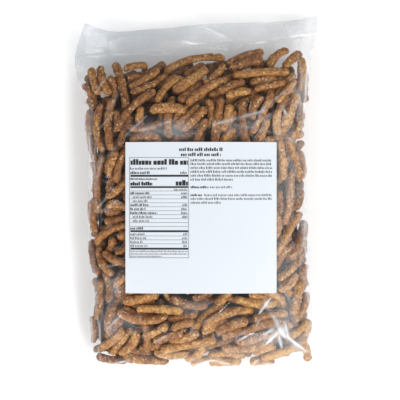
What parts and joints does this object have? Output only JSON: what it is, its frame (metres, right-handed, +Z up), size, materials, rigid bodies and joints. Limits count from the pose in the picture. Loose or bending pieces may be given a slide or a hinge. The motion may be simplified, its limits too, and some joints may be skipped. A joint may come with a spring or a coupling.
{
  "type": "bag of sesame sticks",
  "caption": "Sealed clear plastic bag packed with crisp sesame sticks, lying flat with a square white label on its upper face.",
  "frame": {"origin": "on the table, under the middle of the bag's bounding box", "axes": "+Z up from the table, +Y along the bag towards its header, +X across the bag to the right seen from above"},
  "size_m": [0.17, 0.255, 0.041],
  "materials": {
    "film_and_sticks": "clear glossy film over toasted brown snack sticks",
    "label": "smooth white printed label"
  },
  "bodies": {
    "root": {"bag": "film_and_sticks", "label": "label"}
  },
  "joints": []
}
